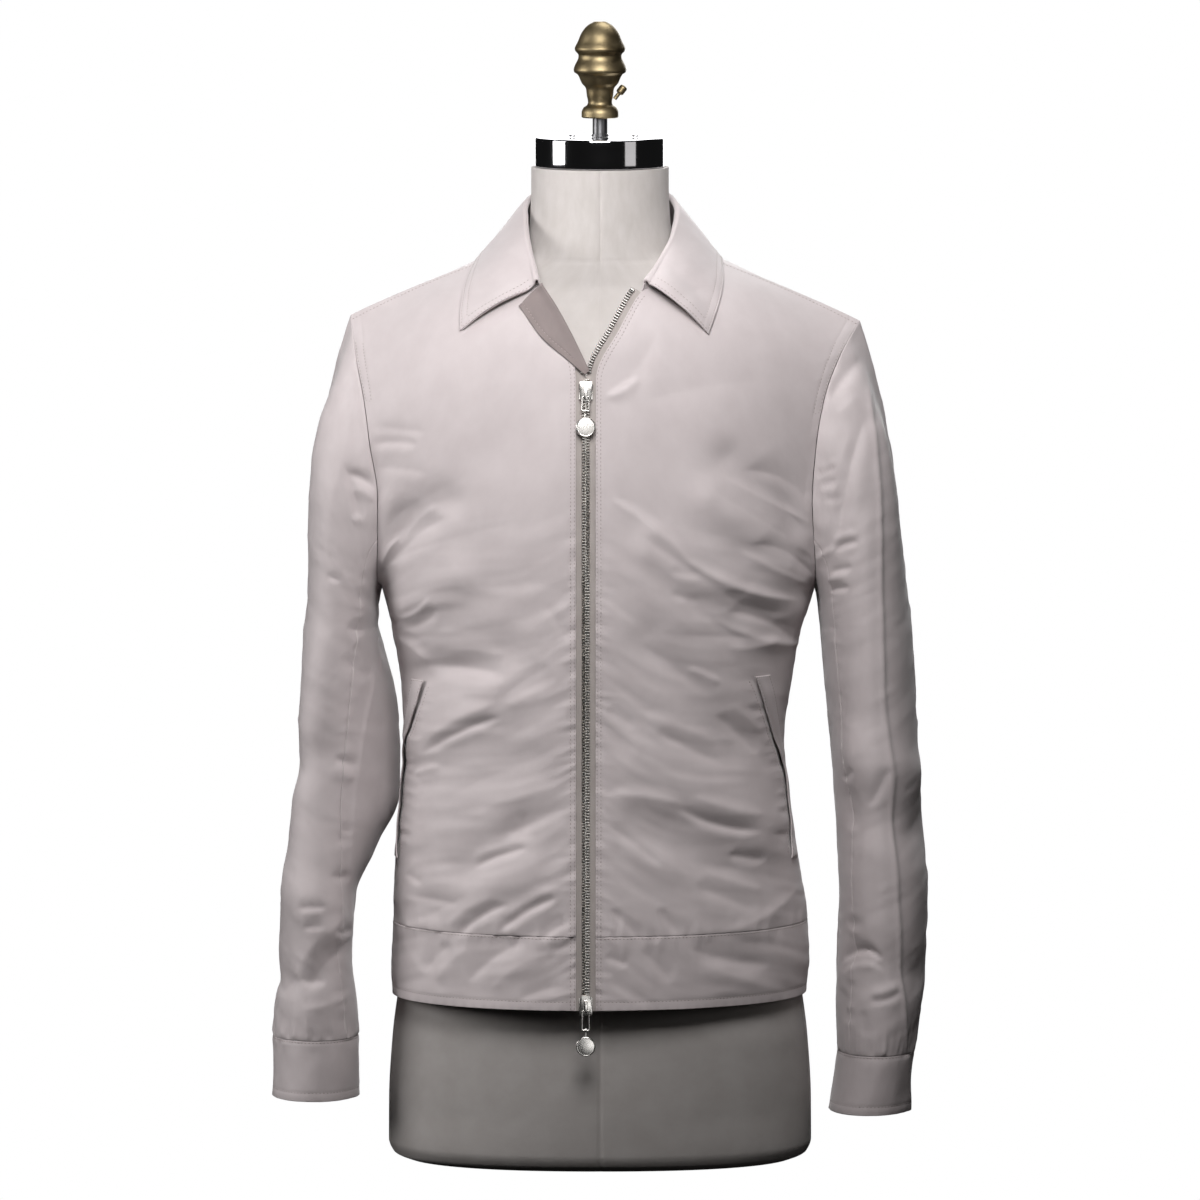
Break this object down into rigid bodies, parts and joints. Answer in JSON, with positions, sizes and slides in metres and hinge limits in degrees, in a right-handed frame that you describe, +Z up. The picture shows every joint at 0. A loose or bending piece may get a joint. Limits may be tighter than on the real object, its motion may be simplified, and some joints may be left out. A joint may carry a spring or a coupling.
{
  "type": "reversible jacket on a dress form",
  "caption": "Zipped blouson jacket with a shirt collar, hem band and slanted pockets, worn on a limbless tailor's form with a neck cap and a turned finial.",
  "frame": {"origin": "middle of the form's flat base, on the surface that it stands on", "axes": "+Z up along the form's rod; the jacket's front faces -Y; the wearer's left is +X"},
  "size_m": [0.5606, 0.2781, 0.9707],
  "materials": {
    "shell": "smooth stone-coloured technical cotton with a faint sheen",
    "reverse": "matt taupe reverse cloth",
    "tape": "woven zip tape",
    "nickel": "bright nickel plate",
    "canvas": "unbleached canvas over a hard shell",
    "chrome": "polished chrome plate",
    "brass": "satin, slightly aged",
    "steel": "dark drawn steel"
  },
  "bodies": {
    "garment_and_form": {"front_left": "shell", "front_right": "shell", "back": "shell", "hem_front_left": "shell", "hem_front_right": "shell", "hem_back": "shell", "sleeve_top_left": "shell", "sleeve_top_right": "shell", "sleeve_under_left": "shell", "sleeve_under_right": "shell", "cuff_left": "shell", "cuff_right": "shell", "collar_stand": "shell", "collar_fall": "shell", "pocket_welt_left": "shell", "pocket_welt_right": "shell", "facing_right": "reverse", "zip_tape_left": "tape", "zip_tape_right": "tape", "zip_chain": "nickel", "zip_teeth_left": "nickel", "slider_top": "nickel", "slider_bottom": "nickel", "form_body": "canvas", "neck_cap": "chrome", "cap_screw_left": "chrome", "cap_screw_right": "chrome", "finial": "brass", "thumb_screw": "brass", "rod": "steel"},
    "link_top": {"pull_link_top": "nickel"},
    "disc_top": {"pull_disc_top": "nickel"},
    "link_bottom": {"pull_link_bottom": "nickel"},
    "disc_bottom": {"pull_disc_bottom": "nickel"}
  },
  "joints": [
    {"name": "top_link_swing", "type": "hinge", "parent": "garment_and_form", "child": "link_top", "pos_m": [-0.01194, -0.13062, 0.66125], "axis": [-1, -0.0006, 0.0013], "range_deg": [0, 120]},
    {"name": "top_disc_swing", "type": "hinge", "parent": "link_top", "child": "disc_top", "pos_m": [-0.01197, -0.13237, 0.64938], "axis": [-1, -0.0006, 0.0013], "range_deg": [0, 50]},
    {"name": "bottom_link_swing", "type": "hinge", "parent": "garment_and_form", "child": "link_bottom", "pos_m": [-0.01205, -0.14437, 0.14226], "axis": [-1, 0, 0], "range_deg": [0, 120]},
    {"name": "bottom_disc_swing", "type": "hinge", "parent": "link_bottom", "child": "disc_bottom", "pos_m": [-0.01205, -0.145, 0.12577], "axis": [-1, 0, 0], "range_deg": [0, 50]}
  ]
}
